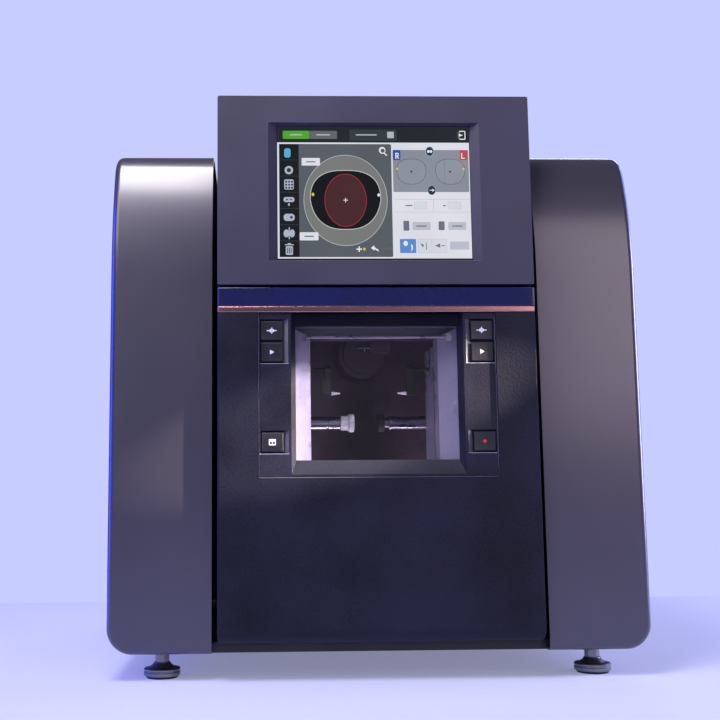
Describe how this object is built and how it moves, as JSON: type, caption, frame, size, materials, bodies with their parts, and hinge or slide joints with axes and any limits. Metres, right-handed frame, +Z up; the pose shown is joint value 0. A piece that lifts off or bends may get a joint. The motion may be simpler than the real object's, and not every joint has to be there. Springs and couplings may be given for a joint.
{
  "type": "automatic lens edger",
  "caption": "Table-top automatic lens edger: wrap-round side covers, leaning touch display, glass door on a grinding chamber with lens shafts and wheels, push buttons and levelling feet.",
  "frame": {"origin": "on the table, at the middle of the machine's footprint", "axes": "+X to the right as seen from the operator, +Y to the back, +Z up; the front faces -Y"},
  "size_m": [0.572, 0.54, 0.624],
  "materials": {
    "charcoal_paint": "satin metallic",
    "black_textured": "fine textured",
    "gloss_navy": "high gloss",
    "copper_trim": "polished copper-coloured anodised",
    "cap_black": "satin",
    "display_black": "matte",
    "screen_glass": "glossy",
    "plated_steel": "zinc plated",
    "dark_steel": "dark chrome",
    "bright_steel": "ground",
    "chrome": "polished",
    "light_grey_moulding": "glossy",
    "dark_moulding": "satin",
    "door_glass": "clear",
    "white_plastic": "satin",
    "black_rubber": "matte",
    "abrasive_coarse": "diamond grit",
    "abrasive_fine": "fine diamond grit",
    "brass": "turned"
  },
  "bodies": {
    "chassis": {"base_tray": "plated_steel", "left_frame_plate": "plated_steel", "right_frame_plate": "plated_steel", "right_side_cover": "charcoal_paint", "left_side_cover": "charcoal_paint", "top_cover": "black_textured", "rear_panel": "black_textured", "front_panel": "black_textured", "control_bezel": "black_textured", "accent_trim": "copper_trim", "accent_band": "gloss_navy", "display_bracket": "plated_steel", "door_guides": "plated_steel", "chamber_hood": "light_grey_moulding", "chamber_tub": "dark_moulding", "inspection_plate": "dark_moulding", "lower_guide_rod": "chrome", "upper_guide_rod": "chrome", "spindle_bearing": "plated_steel", "spindle_motor": "dark_steel", "drive_belt": "black_rubber", "fan_frame": "display_black", "power_inlet": "display_black", "water_inlet": "brass", "drain_pipe": "display_black"},
    "display": {"display_bezel": "display_black", "lcd_screen": "screen_glass", "display_rear_cover": "display_black"},
    "door": {"door_glass": "door_glass", "door_rail": "white_plastic", "door_carrier": "plated_steel"},
    "door_screw": {"door_screw": "bright_steel"},
    "carriage": {"carriage": "plated_steel"},
    "lift_screw": {"lift_screw": "bright_steel"},
    "lens_head": {"lens_head": "plated_steel"},
    "left_lens_shaft": {"left_lens_shaft": "bright_steel", "lens_adapter_cup": "white_plastic"},
    "clamp_quill": {"clamp_quill": "bright_steel"},
    "right_lens_shaft": {"right_lens_shaft": "chrome", "clamp_pad": "black_rubber"},
    "wheel_stack": {"wheel_spindle": "bright_steel", "roughing_wheel": "abrasive_coarse", "finishing_wheel": "abrasive_fine"},
    "motor_pulley": {"motor_pulley": "bright_steel"},
    "right_feeler": {"right_feeler": "black_rubber"},
    "left_feeler": {"left_feeler": "black_rubber"},
    "tool_head": {"tool_head": "dark_moulding"},
    "tool_spindle": {"tool_spindle": "bright_steel"},
    "fan_rotor": {"fan_rotor": "display_black"},
    "power_switch": {"power_switch": "cap_black"},
    "left_chuck_button": {"left_chuck_button": "cap_black"},
    "left_start_button": {"left_start_button": "cap_black"},
    "door_button": {"door_button": "cap_black"},
    "right_chuck_button": {"right_chuck_button": "cap_black"},
    "right_start_button": {"right_start_button": "cap_black"},
    "power_button": {"power_button": "cap_black"},
    "front_left_foot": {"front_left_foot": "dark_steel"},
    "front_right_foot": {"front_right_foot": "dark_steel"},
    "rear_left_foot": {"rear_left_foot": "dark_steel"},
    "rear_right_foot": {"rear_right_foot": "dark_steel"}
  },
  "joints": [
    {"name": "display_tilt", "type": "hinge", "parent": "chassis", "child": "display", "pos_m": [0, -0.239, 0.427], "axis": [-1, 0, 0], "range_deg": [0, 12]},
    {"name": "door_slide", "type": "slide", "parent": "chassis", "child": "door", "axis": [0, 0, -1], "range_m": [0, 0.127]},
    {"name": "door_screw_spin", "type": "hinge", "parent": "chassis", "child": "door_screw", "pos_m": [0.101, -0.2443, 0.12], "axis": [0, 0, 1], "continuous": true},
    {"name": "carriage_traverse", "type": "slide", "parent": "chassis", "child": "carriage", "axis": [1, 0, 0], "range_m": [-0.008, 0.008]},
    {"name": "head_lift", "type": "slide", "parent": "carriage", "child": "lens_head", "axis": [0, 0, 1], "range_m": [-0.04, 0.01]},
    {"name": "lift_screw_spin", "type": "hinge", "parent": "carriage", "child": "lift_screw", "pos_m": [0, 0.019, 0.262], "axis": [0, 0, 1], "continuous": true},
    {"name": "left_lens_spin", "type": "hinge", "parent": "lens_head", "child": "left_lens_shaft", "pos_m": [-0.08, -0.131, 0.274], "axis": [1, 0, 0], "continuous": true},
    {"name": "lens_clamp", "type": "slide", "parent": "lens_head", "child": "clamp_quill", "axis": [-1, 0, 0], "range_m": [0, 0.024]},
    {"name": "right_lens_spin", "type": "hinge", "parent": "clamp_quill", "child": "right_lens_shaft", "pos_m": [0.08, -0.131, 0.274], "axis": [1, 0, 0], "continuous": true},
    {"name": "wheel_spin", "type": "hinge", "parent": "chassis", "child": "wheel_stack", "pos_m": [0, -0.075, 0.178], "axis": [1, 0, 0], "continuous": true},
    {"name": "motor_spin", "type": "hinge", "parent": "chassis", "child": "motor_pulley", "pos_m": [-0.146, 0.038, 0.106], "axis": [1, 0, 0], "continuous": true},
    {"name": "right_feeler_reach", "type": "slide", "parent": "chassis", "child": "right_feeler", "axis": [1, 0, 0], "range_m": [-0.012, 0.004]},
    {"name": "left_feeler_reach", "type": "slide", "parent": "chassis", "child": "left_feeler", "axis": [1, 0, 0], "range_m": [-0.004, 0.012]},
    {"name": "tool_head_swing", "type": "hinge", "parent": "chassis", "child": "tool_head", "pos_m": [0.003, -0.046, 0.363], "axis": [0, 1, 0], "range_deg": [-30, 30]},
    {"name": "tool_spin", "type": "hinge", "parent": "tool_head", "child": "tool_spindle", "pos_m": [0.01, -0.082, 0.3705], "axis": [1, 0, 0], "continuous": true},
    {"name": "fan_spin", "type": "hinge", "parent": "chassis", "child": "fan_rotor", "pos_m": [-0.095, 0.2452, 0.43], "axis": [0, 1, 0], "continuous": true},
    {"name": "power_rocker", "type": "hinge", "parent": "chassis", "child": "power_switch", "pos_m": [-0.062, 0.2585, 0.09], "axis": [1, 0, 0], "range_deg": [0, 12]},
    {"name": "left_chuck_button_press", "type": "slide", "parent": "chassis", "child": "left_chuck_button", "axis": [0, 1, 0], "range_m": [0, 0.0015], "stiffness_N_per_m": 900},
    {"name": "left_start_button_press", "type": "slide", "parent": "chassis", "child": "left_start_button", "axis": [0, 1, 0], "range_m": [0, 0.0015], "stiffness_N_per_m": 900},
    {"name": "door_button_press", "type": "slide", "parent": "chassis", "child": "door_button", "axis": [0, 1, 0], "range_m": [0, 0.0015], "stiffness_N_per_m": 900},
    {"name": "right_chuck_button_press", "type": "slide", "parent": "chassis", "child": "right_chuck_button", "axis": [0, 1, 0], "range_m": [0, 0.0015], "stiffness_N_per_m": 900},
    {"name": "right_start_button_press", "type": "slide", "parent": "chassis", "child": "right_start_button", "axis": [0, 1, 0], "range_m": [0, 0.0015], "stiffness_N_per_m": 900},
    {"name": "power_button_press", "type": "slide", "parent": "chassis", "child": "power_button", "axis": [0, 1, 0], "range_m": [0, 0.0015], "stiffness_N_per_m": 900},
    {"name": "front_left_foot_turn", "type": "hinge", "parent": "chassis", "child": "front_left_foot", "pos_m": [-0.23, -0.225, 0.01], "axis": [0, 0, 1], "continuous": true},
    {"name": "front_right_foot_turn", "type": "hinge", "parent": "chassis", "child": "front_right_foot", "pos_m": [0.23, -0.225, 0.01], "axis": [0, 0, 1], "continuous": true},
    {"name": "rear_left_foot_turn", "type": "hinge", "parent": "chassis", "child": "rear_left_foot", "pos_m": [-0.23, 0.225, 0.01], "axis": [0, 0, 1], "continuous": true},
    {"name": "rear_right_foot_turn", "type": "hinge", "parent": "chassis", "child": "rear_right_foot", "pos_m": [0.23, 0.225, 0.01], "axis": [0, 0, 1], "continuous": true}
  ],
  "couplings": [
    {"joint": "door_screw_spin", "follows": "door_slide", "rad_per_m": 392.7},
    {"joint": "lift_screw_spin", "follows": "head_lift", "rad_per_m": 628.32},
    {"joint": "right_lens_spin", "follows": "left_lens_spin", "ratio": 1},
    {"joint": "motor_spin", "follows": "wheel_spin", "ratio": 0.76923}
  ]
}
